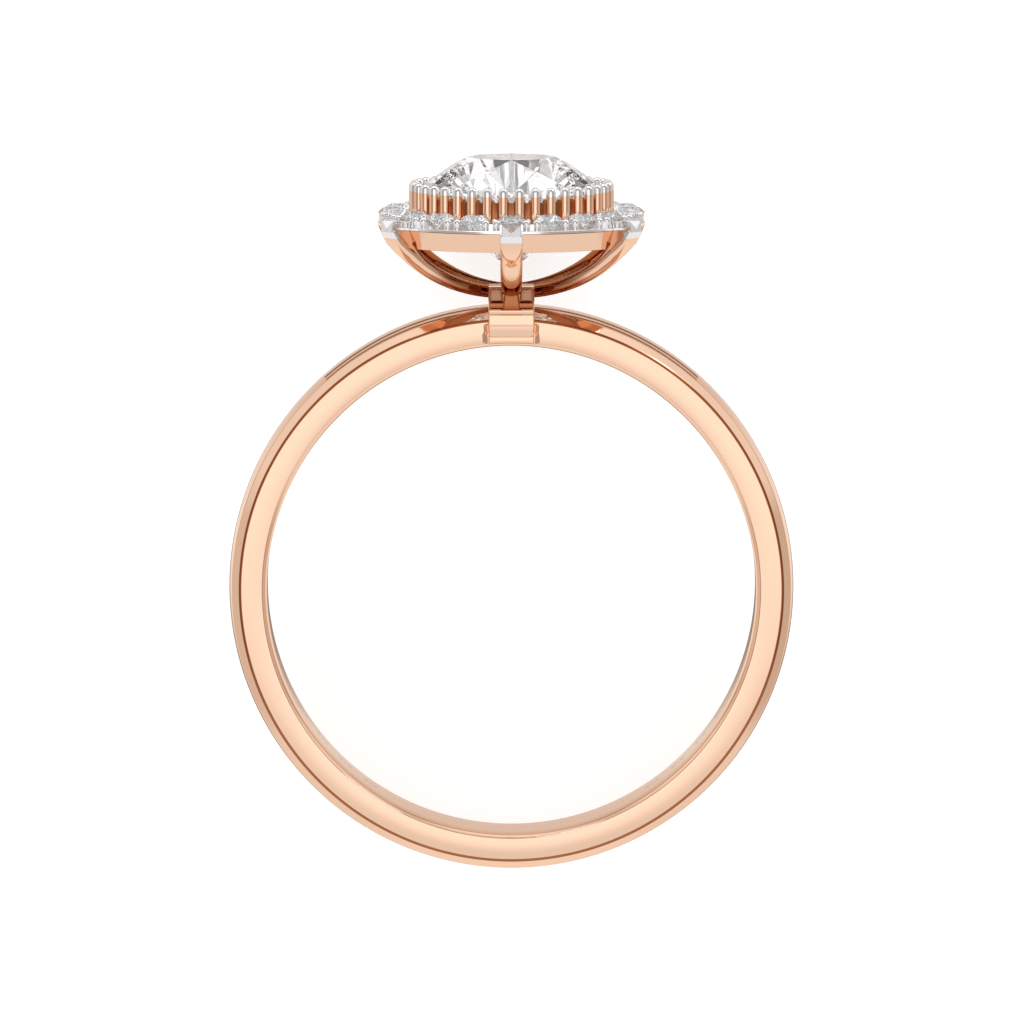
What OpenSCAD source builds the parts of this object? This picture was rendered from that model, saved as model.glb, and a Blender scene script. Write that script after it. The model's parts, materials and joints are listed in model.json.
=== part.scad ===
// Halo ring, lying on its side with the band edge and one claw on the surface.
// Every piece is drawn upright first: finger hole along Y, head towards +Z, millimetres.

/* [Band] */
// Inside diameter of the band
finger_d = 17.3; // [15:0.1:21]
// Thickness of the band from the finger hole to its crest
band_t = 1.35; // [1.2:0.05:2]
// Width of the band along the finger
band_w = 3.9; // [3:0.1:5]
// Radial height of the bevel on the outer edges
edge_bevel_t = 0.28; // [0.1:0.02:0.4]
// Width of the bevel on the outer edges
edge_bevel_w = 0.35; // [0.1:0.05:0.6]
// Rise of the crowned outside between its bevels
crown_h = 0.11; // [0.04:0.01:0.2]
// Radial height of the comfort edge inside the finger hole
comfort_t = 0.16; // [0.06:0.02:0.3]
// Width of the comfort edge inside the finger hole
comfort_w = 0.45; // [0.2:0.05:0.8]

/* [Hub] */
// Width of the hub and of the collar under it, seen through the finger hole
hub_w = 1.63; // [1.2:0.05:2.4]
// How far the collar stands proud of the band's side faces
collar_proud = 0.12; // [0.05:0.01:0.3]
// Height of the recessed strip between the finger hole and the collar
collar_strip_h = 0.33; // [0.15:0.01:0.5]
// Slot between the collar and the hub
hub_slot_h = 0.23; // [0.1:0.01:0.5]
// Height of the hub
hub_h = 0.6; // [0.4:0.05:1.2]
// How far the hub stands back from the band's side faces
hub_setback = 0.1; // [0:0.05:0.4]
// Width of the post under the front and the back claw
post_w = 0.53; // [0.3:0.01:0.8]

/* [Claws] */
// Number of claws that carry the halo
claw_count = 6; // [4:1:8]
// Width of a claw at the halo
claw_w = 0.8; // [0.5:0.05:1.2]
// Width of a claw's flat outer face
claw_face_w = 0.6; // [0.4:0.02:1]
// Width of a claw at the hub
claw_foot_w = 0.66; // [0.4:0.02:1]
// Thickness of a claw's arm
claw_t = 0.52; // [0.4:0.02:0.8]
// How far the claws stand out from the halo
claw_proud = 0.76; // [0.4:0.01:1]
// Height of a claw's outermost edge above the lower edge of the plate
claw_edge_h = 0.65; // [0.5:0.01:0.8]
// Height of a claw's end above that edge
claw_end_h = 0.32; // [0.2:0.01:0.35]
// How far a claw's end slopes back in above that edge
claw_end_slope = 0.14; // [0.05:0.01:0.3]
// Width of the open V between the two ears of a claw's end
ear_gap_w = 0.64; // [0.3:0.02:0.7]
// Depth of that V
ear_h = 0.22; // [0.1:0.01:0.3]

/* [Centre stone] */
// Diameter of the centre stone
stone_d = 6.5; // [5:0.1:8]
// Diameter of its table as a share of the stone's diameter
table_share = 0.49; // [0.45:0.01:0.65]
// Height of its crown as a share of the stone's diameter
crown_share = 0.169; // [0.12:0.001:0.2]
// Thickness of its girdle
girdle_t = 0.14; // [0.06:0.01:0.25]
// Depth of its pavilion as a share of its diameter
pavilion_share = 0.431; // [0.4:0.001:0.46]
// Height of its point above the hub
culet_rise = 0.37; // [0.2:0.01:1.5]

/* [Prong cup] */
// Diameter of the round prongs
prong_d = 0.354; // [0.26:0.002:0.5]
// Distance from one prong to the next along their circle
prong_pitch = 0.57; // [0.5:0.01:0.9]
// Height of the prongs above the girdle
prong_rise = 0.25; // [0.15:0.01:0.5]
// Depth of the slots between the prongs, measured down from the girdle
slot_drop = 0.16; // [0.05:0.01:0.5]
// Thickness of the cup's wall between the prongs
cup_wall = 0.3; // [0.2:0.01:0.5]
// Gap between a stone and the metal that holds it
stone_gap = 0.023; // [0.015:0.001:0.05]

/* [Halo] */
// Diameter of a halo stone
melee_d = 1.08; // [0.9:0.01:1.5]
// Metal between two halo stones along their circle
melee_space = 0.235; // [0.15:0.005:0.4]
// How far the halo stones lie below the centre stone's girdle
halo_drop = 0.73; // [0.4:0.01:1.2]
// Height of the halo stones' girdles above the plate
seat_h = 0.42; // [0.35:0.01:0.6]
// How far the halo's wall and its beads' shoulders lie below those girdles
wall_drop = 0.07; // [0.03:0.01:0.15]
// Height of the plain plate under the halo
plate_h = 0.67; // [0.3:0.01:1]
// How far the plate tapers in towards its lower edge
plate_taper = 0.3; // [0:0.02:0.6]
// Height of the plain rim between the plate and the stones
rim_h = 0.11; // [0.05:0.01:0.3]
// Diameter of the beads that hold the halo stones
bead_d = 0.3; // [0.16:0.01:0.36]
// Distance between the two beads of a pair
bead_pair = 0.38; // [0.3:0.01:0.44]
// Width of the open scallop in front of each halo stone
scallop_w = 0.72; // [0.5:0.01:0.9]

/* [Hidden] */
// How far joined solids reach into each other
overlap = 0.05;
// How far cutters reach past the metal
reach = 1;

// Band
bore_r = finger_d / 2;
half_w = band_w / 2;
crest_r = bore_r + band_t;
shoulder_r = crest_r - crown_h;
shoulder_y = half_w - edge_bevel_w;
face_r = shoulder_r - edge_bevel_t;
bore_half_l = half_w - comfort_w;
crown_steps = 10;

// Hub and collar
collar_y = half_w + collar_proud;
collar_low_z = bore_r + collar_strip_h;
collar_round = 0.14;
collar_edge = 0.06;
groove_t = 0.05;
strip_y = half_w - overlap;
notch_out = 0.115;
notch_t = 0.1;
hub_low_z = crest_r + hub_slot_h;
hub_top_z = hub_low_z + hub_h;
hub_y = half_w - hub_setback;
hub_corner = 0.09;
neck_share = 0.62;
neck_y = hub_y * neck_share;
post_flare = 1.22;
post_flare_h = 0.35;

// Heights of the head, stacked up from the hub
pavilion_h = stone_d * pavilion_share;
girdle_low_z = hub_top_z + culet_rise + pavilion_h;
girdle_top_z = girdle_low_z + girdle_t;
table_z = girdle_top_z + stone_d * crown_share;
prong_top_z = girdle_top_z + prong_rise;
cup_top_z = girdle_low_z - slot_drop;

// Prong circle and cup
prong_r = prong_d / 2;
prong_ring_r = stone_d / 2 + stone_gap + prong_r;
prong_count = floor(2 * PI * prong_ring_r / prong_pitch);
cup_in_r = stone_d / 2 - overlap;
cup_out_r = cup_in_r + cup_wall;

// Halo
melee_r = melee_d / 2;
melee_ring_r = prong_ring_r + prong_r + stone_gap + melee_r;
melee_count = floor(2 * PI * melee_ring_r / (melee_d + melee_space));
melee_table = 0.56;
melee_crown_h = melee_d * 0.165;
melee_girdle_t = melee_d * 0.03;
melee_pavilion_h = melee_d * 0.42;
melee_z = girdle_low_z - halo_drop;
halo_r = melee_ring_r + melee_r;
bead_r = bead_d / 2;
bead_inset = 0.01;
bead_ring_r = halo_r - bead_r - bead_inset;
wall_r = halo_r - 0.6 * bead_r;
halo_top_z = melee_z - wall_drop;
bead_shoulder_z = halo_top_z + bead_inset;
plate_top_z = melee_z - seat_h;
plate_low_z = plate_top_z - plate_h;
plate_low_r = halo_r - plate_taper;
halo_in_r = cup_in_r + 2 * overlap;
rim_slope_h = 0.03;
scallop_r = scallop_w / 2;
scallop_z = plate_top_z + rim_h + scallop_r;
inner_bead_r = bead_r * 0.8;
inner_bead_ring_r = prong_ring_r + prong_r + inner_bead_r * 0.9;

// Claw: one curve for its underside, from the hub out to its outermost edge
claw_r = halo_r + claw_proud;
claw_foot_r = hub_w * 0.37;
claw_foot_z = hub_low_z + overlap * 0.4;
claw_edge_z = plate_low_z + claw_edge_h;
claw_top_z = claw_edge_z + claw_end_h;
claw_bevel = (claw_w - claw_face_w) / 2;
claw_in_r = halo_r - overlap;
claw_reach = claw_r - claw_foot_r;
claw_steps = 14;
ear_floor_w = ear_gap_w * 0.28;
ear_fall = atan((halo_top_z - claw_top_z + ear_h) / claw_proud);
foot_angle = 3.8;
foot_pull = 0.508;
bend_angle = 62.2;
bend_pull = 0.261;
claw_curve = [
    [claw_foot_r, claw_foot_z],
    [claw_foot_r, claw_foot_z] + claw_reach * foot_pull * [cos(foot_angle), sin(foot_angle)],
    [claw_r, claw_edge_z] - claw_reach * bend_pull * [cos(bend_angle), sin(bend_angle)],
    [claw_r, claw_edge_z]
];

// Resting place: the band's back edge and the back claw's outermost edge touch the surface
rest_tilt = atan((claw_r - half_w) / (claw_edge_z + face_r));
lift = half_w * cos(rest_tilt) + face_r * sin(rest_tilt);
table_r = stone_d * table_share / 2;
far_y = table_z * cos(rest_tilt) + table_r * sin(rest_tilt);
near_y = min([for (p = band_outside()) p[1] * sin(rest_tilt) - p[0] * cos(rest_tilt)]);
centre_y = -(far_y + near_y) / 2;

// A claw stands in front of the halo stone that is nearest to its even share of the circle
function claw_angle(i) = round(i * melee_count / claw_count) * 360 / melee_count;

function two_digits(n) = n < 10 ? str("0", n) : str(n);
function melee_name(n) = str("halo_stone_", two_digits(n));

gold = [0.90, 0.66, 0.52];
diamond = [0.90, 0.93, 0.97];

// Outside of the band as pairs of radius and place along the finger
function band_outside() = concat(
    [[face_r, -half_w]],
    [for (i = [0:crown_steps])
        let (s = 2 * i / crown_steps - 1)
        [shoulder_r + crown_h * (1 - s * s), s * shoulder_y]],
    [[face_r, half_w]]
);

function bezier(p, t) =
    pow(1 - t, 3) * p[0] + 3 * pow(1 - t, 2) * t * p[1]
    + 3 * (1 - t) * t * t * p[2] + pow(t, 3) * p[3];

function bezier_direction(p, t) =
    let (d = pow(1 - t, 2) * (p[1] - p[0]) + 2 * (1 - t) * t * (p[2] - p[1]) + t * t * (p[3] - p[2]))
    d / norm(d);

// Lays the upright ring down on its side
module lying() {
    translate([0, centre_y, lift]) rotate([rest_tilt - 90, 0, 0]) children();
}

// Repeats its children round the head, the first copy towards the viewer
module round_head(count, offset = 0) {
    for (i = [0:count - 1]) rotate([0, 0, (i + offset) * 360 / count - 90]) children();
}

module band() {
    rotate([90, 0, 0]) rotate_extrude($fn = 180)
        polygon(concat([[bore_r - overlap, -half_w]], band_outside(), [[bore_r - overlap, half_w]]));
}

// The hole through the band, with its comfort edges
module finger_hole() {
    half = [
        [bore_r, bore_half_l],
        [bore_r + comfort_t * 0.35, half_w - comfort_w * 0.45],
        [bore_r + comfort_t, half_w],
        [bore_r + comfort_t, half_w + reach],
        [0, half_w + reach]
    ];
    rotate([90, 0, 0]) rotate_extrude($fn = 180)
        polygon(concat(half, [for (i = [len(half) - 1:-1:0]) [half[i][0], -half[i][1]]]));
}

// Saddle round the top of the band, with a soft groove under its upper edge
module collar() {
    half = [
        [-overlap, crest_r],
        [collar_y - collar_edge, crest_r],
        [collar_y, crest_r - collar_edge],
        [collar_y, crest_r - 2 * collar_edge],
        [collar_y - groove_t, crest_r - 3 * collar_edge],
        [collar_y, crest_r - 4 * collar_edge],
        [collar_y, collar_low_z + collar_round],
        [collar_y - collar_round * 0.3, collar_low_z + collar_round * 0.3],
        [collar_y - collar_round, collar_low_z],
        [strip_y, collar_low_z],
        [strip_y, bore_r - overlap],
        [-overlap, bore_r - overlap]
    ];
    for (side = [0, 1]) mirror([0, side, 0])
        translate([-hub_w / 2, 0, 0]) rotate([90, 0, 90]) linear_extrude(hub_w) polygon(half);
}

// Shallow notch in the band's side faces where they end at the collar
module collar_notch() {
    low_z = bore_r + comfort_t;
    for (side = [-1, 1]) translate([0, side * half_w, (low_z + face_r) / 2])
        cube([hub_w + 2 * notch_out, 2 * notch_t, face_r - low_z - notch_t], center = true);
}

module hub() {
    w = hub_w / 2;
    rotate([90, 0, 0]) linear_extrude(2 * hub_y, center = true) polygon([
        [-w, hub_low_z + hub_corner],
        [-w + hub_corner, hub_low_z],
        [w - hub_corner, hub_low_z],
        [w, hub_low_z + hub_corner],
        [w, hub_top_z - hub_corner],
        [w - hub_corner, hub_top_z],
        [-w + hub_corner, hub_top_z],
        [-w, hub_top_z - hub_corner]
    ]);
    translate([0, 0, (crest_r + hub_low_z) / 2])
        cube([hub_w - 2 * hub_corner, 2 * neck_y, hub_slot_h + 4 * overlap], center = true);
    for (side = [0, 1]) mirror([0, side, 0]) post();
}

// Post that carries the front claw on the collar, flared at its foot
module post() {
    w = post_w / 2;
    foot_w = w * post_flare;
    low_z = crest_r - overlap;
    top_z = (hub_low_z + hub_top_z) / 2;
    translate([0, -neck_y + overlap, 0]) rotate([90, 0, 0])
        linear_extrude(hub_y - neck_y + 2 * overlap) polygon([
            [-foot_w, low_z],
            [foot_w, low_z],
            [w, low_z + post_flare_h],
            [w, top_z],
            [-w, top_z],
            [-w, low_z + post_flare_h]
        ]);
}

module claw() {
    under = [for (i = [0:claw_steps]) bezier(claw_curve, i / claw_steps)];
    over = [for (i = [claw_steps:-1:0])
        let (t = i / claw_steps, d = bezier_direction(claw_curve, t))
        bezier(claw_curve, t) + claw_t * [-d[1], d[0]]];
    outline = concat(
        [[0, claw_foot_z]],
        under,
        [[claw_r - claw_end_slope, claw_top_z], [claw_in_r, claw_top_z]],
        [for (p = over) if (p[0] < claw_in_r - 2 * overlap) p],
        [[0, claw_foot_z + claw_t]]
    );
    tip_w = claw_w / 2;
    face_w = claw_face_w / 2;
    foot_w = claw_foot_w / 2;
    side_r = claw_r - claw_bevel * 1.7;
    difference() {
        intersection() {
            rotate([90, 0, 0]) linear_extrude(claw_w + reach, center = true) polygon(outline);
            linear_extrude(claw_top_z + reach) polygon([
                [-overlap, -foot_w],
                [side_r, -tip_w],
                [claw_r + overlap, -face_w],
                [claw_r + overlap, face_w],
                [side_r, tip_w],
                [-overlap, foot_w]
            ]);
        }
        ear_gap();
    }
}

// Open V between a claw's ears, which falls away from the halo stone behind it
module ear_gap() {
    floor_w = ear_floor_w / 2;
    open_w = ear_gap_w - floor_w;
    translate([halo_r, 0, halo_top_z]) rotate([0, ear_fall, 0]) rotate([90, 0, 90])
        linear_extrude(2 * claw_proud) polygon([
            [-floor_w, 0],
            [floor_w, 0],
            [open_w, 2 * ear_h],
            [-open_w, 2 * ear_h]
        ]);
}

// Plain plate with the halo's wall on it, open in front of each stone
module halo_wall() {
    difference() {
        rotate_extrude($fn = 120) polygon([
            [halo_in_r, plate_low_z],
            [plate_low_r, plate_low_z],
            [halo_r, plate_top_z],
            [halo_r, plate_top_z + rim_h],
            [wall_r, plate_top_z + rim_h + rim_slope_h],
            [wall_r, halo_top_z],
            [halo_in_r, halo_top_z]
        ]);
        round_head(melee_count) {
            translate([melee_ring_r, 0, scallop_z]) rotate([0, 90, 0])
                cylinder(r = scallop_r, h = melee_d, $fn = 40);
            translate([melee_ring_r, -scallop_r, scallop_z]) cube([melee_d, scallop_w, reach]);
        }
    }
}

// A post with a rounded top
module bead_post(r, low_z, shoulder_z) {
    rotate_extrude($fn = 24) polygon([
        [0, low_z],
        [r, low_z],
        [r, shoulder_z],
        [r * 0.92, shoulder_z + r * 0.39],
        [r * 0.71, shoulder_z + r * 0.71],
        [r * 0.38, shoulder_z + r * 0.92],
        [0, shoulder_z + r]
    ]);
}

module halo_beads() {
    round_head(melee_count, 0.5) {
        for (side = [-1, 1]) translate([bead_ring_r, side * bead_pair / 2, 0])
            bead_post(bead_r, plate_top_z + overlap, bead_shoulder_z);
        translate([inner_bead_ring_r, 0, 0])
            bead_post(inner_bead_r, plate_top_z + overlap, bead_shoulder_z);
    }
}

// Seats of the halo stones
module halo_seats() {
    r = melee_r + stone_gap;
    round_head(melee_count) translate([melee_ring_r, 0, melee_z]) rotate_extrude($fn = 48) polygon([
        [0, -melee_pavilion_h - 2 * stone_gap],
        [r, -stone_gap * 0.6],
        [r, melee_r],
        [0, melee_r]
    ]);
}

module prong_cup() {
    rotate_extrude($fn = 120) polygon([
        [cup_in_r, plate_low_z + overlap],
        [cup_out_r, plate_low_z + overlap],
        [cup_out_r, cup_top_z],
        [cup_in_r, cup_top_z]
    ]);
    round_head(prong_count, 0.5) translate([prong_ring_r, 0, 0])
        bead_post(prong_r, plate_low_z + 2 * overlap, prong_top_z - prong_r);
}

module ring_metal() {
    color(gold) lying() difference() {
        union() {
            difference() {
                band();
                collar_notch();
            }
            collar();
            hub();
            for (i = [0:claw_count - 1]) rotate([0, 0, claw_angle(i) - 90]) claw();
            halo_wall();
            halo_beads();
            prong_cup();
        }
        halo_seats();
        finger_hole();
    }
}

// Round brilliant with its girdle's lower edge at z = 0
module brilliant(d, table, crown, girdle, pavilion) {
    r = d / 2;
    table_r = r * table;
    star_r = table_r + (r - table_r) * 0.45;
    star_flat = star_r * cos(22.5);
    star_z = girdle + crown * (1 - (star_flat - table_r) / (r - table_r));
    main_r = r * 0.22;
    main_z = -pavilion * (1 - main_r * cos(22.5) / r);
    ring = [for (i = [0:15]) [cos(i * 22.5), sin(i * 22.5)]];
    points = concat(
        [for (i = [0:7]) [ring[2 * i][0] * table_r, ring[2 * i][1] * table_r, girdle + crown]],
        [for (i = [0:7]) [ring[2 * i + 1][0] * star_r, ring[2 * i + 1][1] * star_r, star_z]],
        [for (i = [0:15]) [ring[i][0] * r, ring[i][1] * r, girdle]],
        [for (i = [0:15]) [ring[i][0] * r, ring[i][1] * r, 0]],
        [for (i = [0:7]) [ring[2 * i + 1][0] * main_r, ring[2 * i + 1][1] * main_r, main_z]],
        [[0, 0, -pavilion]]
    );
    star = 8;
    top = 16;
    low = 32;
    main = 48;
    culet = 56;
    table_face = [[for (i = [7:-1:0]) i]];
    facets = [for (i = [0:7])
        let (next = (i + 1) % 8, g = 2 * i, last = (2 * i + 15) % 16, past = (2 * i + 2) % 16)
        each [
            [i, next, star + i],
            [i, star + i, top + g, star + (i + 7) % 8],
            [star + i, top + g + 1, top + g],
            [star + i, top + past, top + g + 1],
            [main + i, low + g, low + g + 1],
            [main + i, low + g + 1, low + past],
            [culet, main + (i + 7) % 8, low + g, main + i]
        ]];
    belt = [for (i = [0:15]) let (next = (i + 1) % 16) [top + i, top + next, low + next, low + i]];
    polyhedron(points, concat(table_face, facets, belt));
}

module centre_stone() {
    color(diamond) lying() translate([0, 0, girdle_low_z])
        brilliant(stone_d, table_share, stone_d * crown_share, girdle_t, pavilion_h);
}

module halo_stone(n) {
    color(diamond) lying() rotate([0, 0, (n - 1) * 360 / melee_count - 90])
        translate([melee_ring_r, 0, melee_z])
        brilliant(melee_d, melee_table, melee_crown_h, melee_girdle_t, melee_pavilion_h);
}

ring_metal();
centre_stone();
for (n = [1:melee_count]) halo_stone(n);
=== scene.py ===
import json
import math

import bmesh
import bpy
from mathutils import Matrix, Vector


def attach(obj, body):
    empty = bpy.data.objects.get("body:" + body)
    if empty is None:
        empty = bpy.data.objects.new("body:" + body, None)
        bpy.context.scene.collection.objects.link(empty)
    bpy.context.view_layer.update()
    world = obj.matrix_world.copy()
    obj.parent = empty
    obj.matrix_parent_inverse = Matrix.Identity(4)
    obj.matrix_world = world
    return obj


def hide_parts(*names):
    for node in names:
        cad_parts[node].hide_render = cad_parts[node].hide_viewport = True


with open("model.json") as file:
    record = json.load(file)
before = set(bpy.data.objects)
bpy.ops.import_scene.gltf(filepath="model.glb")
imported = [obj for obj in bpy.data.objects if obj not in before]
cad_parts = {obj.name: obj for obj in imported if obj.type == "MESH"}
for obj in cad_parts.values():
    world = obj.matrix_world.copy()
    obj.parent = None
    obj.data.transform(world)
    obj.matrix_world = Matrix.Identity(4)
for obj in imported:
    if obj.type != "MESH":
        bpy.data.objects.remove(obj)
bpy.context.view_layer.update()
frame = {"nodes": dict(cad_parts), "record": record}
scene = bpy.context.scene

# The ring's own frame, in millimetres: X across the finger hole, Y along the finger
# away from the viewer, Z from the band up to the table of the centre stone.
mm = 0.001
mount = frame["record"]["mounts"][0]
ringCentre = Vector(mount["pos_m"])
acrossAxis = Vector((1, 0, 0))
alongAxis = -Vector(mount["axis"]).normalized()
upAxis = acrossAxis.cross(alongAxis)
ringAxes = Matrix((acrossAxis, alongAxis, upAxis)).transposed()
ringToRow = Matrix.Translation(ringCentre) @ ringAxes.to_4x4() @ Matrix.Scale(mm, 4)
toViewer = -math.pi / 2  # direction towards the viewer, round the head
weldDistance = 2e-7  # metres
tolerance = 1e-6  # mm, where a length is compared


# camera
cameraPlace = {
    "distance": 709.2,  # mm from the middle of the finger hole
    "elevation": 5.6,  # degrees above the finger hole's axis
    "pitch": 5.39,  # degrees that it looks down by
    "sideways": 0.021,  # mm
    "lens": 703.1, "sensor": 36,
    "clipEnd": 20,  # metres
}


def addCamera(place):
    data = bpy.data.cameras.new("photoCamera")
    data.lens = place["lens"]
    data.sensor_width = place["sensor"]
    data.clip_end = place["clipEnd"]
    camera = bpy.data.objects.new("photoCamera", data)
    rise = math.radians(place["elevation"])
    pitch = math.radians(place["pitch"])
    eye = Vector((place["sideways"], -place["distance"] * math.cos(rise), place["distance"] * math.sin(rise)))
    back = ringAxes @ Vector((0, -math.cos(pitch), math.sin(pitch)))
    up = ringAxes @ Vector((0, math.sin(pitch), math.cos(pitch)))
    turn = Matrix((up.cross(back), up, back)).transposed()
    camera.matrix_world = Matrix.Translation(ringToRow @ eye) @ turn.to_4x4()
    scene.collection.objects.link(camera)
    scene.camera = camera


addCamera(cameraPlace)
print("camera set")


# shader helpers
def link(tree, source, target):
    tree.links.new(source, target)


def feed(tree, value, socket):
    # the value is another node's output, or a plain number or colour
    if isinstance(value, bpy.types.NodeSocket):
        link(tree, value, socket)
    else:
        socket.default_value = value


def mathNode(tree, operation, *values):
    node = tree.nodes.new("ShaderNodeMath")
    node.operation = operation
    for value, socket in zip(values, node.inputs):
        feed(tree, value, socket)
    return node.outputs[0]


def rangeNode(tree, value, low, high, toLow=0.0, toHigh=1.0):
    node = tree.nodes.new("ShaderNodeMapRange")
    node.interpolation_type = "SMOOTHSTEP"
    link(tree, value, node.inputs["Value"])
    for name, amount in (("From Min", low), ("From Max", high), ("To Min", toLow), ("To Max", toHigh)):
        node.inputs[name].default_value = amount
    return node.outputs["Result"]


def mixValue(tree, share, first, second):
    node = tree.nodes.new("ShaderNodeMix")
    for index, value in ((0, share), (2, first), (3, second)):
        feed(tree, value, node.inputs[index])
    return node.outputs[0]


def mixColour(tree, share, first, second):
    node = tree.nodes.new("ShaderNodeMix")
    node.data_type = "RGBA"
    for index, value in ((0, share), (6, first), (7, second)):
        feed(tree, value, node.inputs[index])
    return node.outputs[2]


def dotNode(tree, source, direction):
    node = tree.nodes.new("ShaderNodeVectorMath")
    node.operation = "DOT_PRODUCT"
    node.inputs[1].default_value = direction
    link(tree, source, node.inputs[0])
    return node.outputs["Value"]


def noiseNode(tree, place, scale, detail=2):
    node = tree.nodes.new("ShaderNodeTexNoise")
    node.inputs["Detail"].default_value = detail
    link(tree, place, node.inputs["Vector"])
    feed(tree, scale, node.inputs["Scale"])
    return node


def newGroup(name, inputs, outputs):
    group = bpy.data.node_groups.new(name, "ShaderNodeTree")
    for socketName, kind, value in inputs:
        socket = group.interface.new_socket(name=socketName, in_out="INPUT", socket_type=kind)
        socket.default_value = value
    for socketName, kind in outputs:
        group.interface.new_socket(name=socketName, in_out="OUTPUT", socket_type=kind)
    start = group.nodes.new("NodeGroupInput")
    end = group.nodes.new("NodeGroupOutput")
    return group, start, end


def placeGroup(tree, group, **values):
    node = tree.nodes.new("ShaderNodeGroup")
    node.node_tree = group
    for name, value in values.items():
        node.inputs[name].default_value = value
    return node


# values that every metal shares; scales are per millimetre
metal = {
    "cloudScale": 0.55, "cloudDetail": 3, "grainDetail": 4, "driftScale": 0.3, "driftDepth": 0.97,
    "bumpDistance": 0.02, "platingBlur": 0.012,  # mm
}


def buildRingPlaceGroup():
    # object coordinates in metres become the ring's own X, Y, Z in millimetres
    group, _, end = newGroup("ringPlace", [], [
        ("Place", "NodeSocketVector"), ("Up", "NodeSocketFloat"), ("Out", "NodeSocketFloat")])
    coordinates = group.nodes.new("ShaderNodeTexCoord")
    shifted = group.nodes.new("ShaderNodeVectorMath")
    shifted.operation = "SUBTRACT"
    shifted.inputs[1].default_value = ringCentre
    link(group, coordinates.outputs["Object"], shifted.inputs[0])
    parts = [dotNode(group, shifted.outputs[0], axis / mm) for axis in (acrossAxis, alongAxis, upAxis)]
    joined = group.nodes.new("ShaderNodeCombineXYZ")
    for part, socket in zip(parts, joined.inputs):
        link(group, part, socket)
    across, along, up = parts
    squares = mathNode(group, "ADD", mathNode(group, "MULTIPLY", across, across),
                       mathNode(group, "MULTIPLY", along, along))
    link(group, joined.outputs[0], end.inputs["Place"])
    link(group, up, end.inputs["Up"])
    link(group, mathNode(group, "SQRT", squares), end.inputs["Out"])
    return group


def buildPolishGroup(placeNodes):
    # fine polishing marks and handling wear: roughness and a bump height
    group, start, end = newGroup("polishWear", [
        ("Roughness", "NodeSocketFloat", 0.07), ("Wear", "NodeSocketFloat", 0.04),
        ("Grain", "NodeSocketFloat", 6.0)], [("Roughness", "NodeSocketFloat"), ("Height", "NodeSocketFloat")])
    place = placeGroup(group, placeNodes)
    cloud = noiseNode(group, place.outputs["Place"], metal["cloudScale"], metal["cloudDetail"])
    fine = noiseNode(group, place.outputs["Place"], start.outputs["Grain"], metal["grainDetail"])
    wear = mathNode(group, "MULTIPLY", cloud.outputs["Fac"], start.outputs["Wear"])
    link(group, mathNode(group, "ADD", start.outputs["Roughness"], wear), end.inputs["Roughness"])
    link(group, fine.outputs["Fac"], end.inputs["Height"])
    return group


def buildPlatingGroup(placeNodes):
    # white plating over the rose gold: above From Height where it is outside From Radius,
    # and at any radius above Full Height
    group, start, end = newGroup("platingEdge", [
        ("Metal", "NodeSocketColor", (1, 1, 1, 1)), ("Plating", "NodeSocketColor", (1, 1, 1, 1)),
        ("From Height", "NodeSocketFloat", 14.07), ("From Radius", "NodeSocketFloat", 0.0),
        ("Full Height", "NodeSocketFloat", 14.1)],
        [("Color", "NodeSocketColor")])
    place = placeGroup(group, placeNodes)
    masks = []
    for measure, limit in (("Up", "From Height"), ("Out", "From Radius"), ("Up", "Full Height")):
        past = mathNode(group, "SUBTRACT", place.outputs[measure], start.outputs[limit])
        masks.append(rangeNode(group, past, -metal["platingBlur"], metal["platingBlur"]))
    above, outside, full = masks
    mask = mathNode(group, "MAXIMUM", mathNode(group, "MULTIPLY", above, outside), full)
    link(group, mixColour(group, mask, start.outputs["Metal"], start.outputs["Plating"]), end.inputs["Color"])
    return group


ringPlaceGroup = buildRingPlaceGroup()
polishGroup = buildPolishGroup(ringPlaceGroup)
platingGroup = buildPlatingGroup(ringPlaceGroup)

roseTint = (0.92, 0.615, 0.445, 1)
whiteTint = (0.87, 0.88, 0.90, 1)
paintedShadeTint = (0.4, 0.145, 0.06, 1)  # rose gold painted darker as painted shade, for places where little light gets in
padTint = (0.5, 0.25, 0.15, 1)
footShadeTint = (0.42, 0.17, 0.085, 1)  # painted shade on the lower ends of the claws, near the hub
grazingTint = (1.0, 0.84, 0.72, 1)  # keeps the gold warm where it is seen edge on
paintedInStoneTint = (0.91, 0.91, 0.914, 1)  # painted light: metal seen through a clear stone is painted pale grey


def newMaterial(name):
    material = bpy.data.materials.new(name)
    material.use_nodes = True
    tree = material.node_tree
    return material, tree, tree.nodes["Principled BSDF"]
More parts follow.
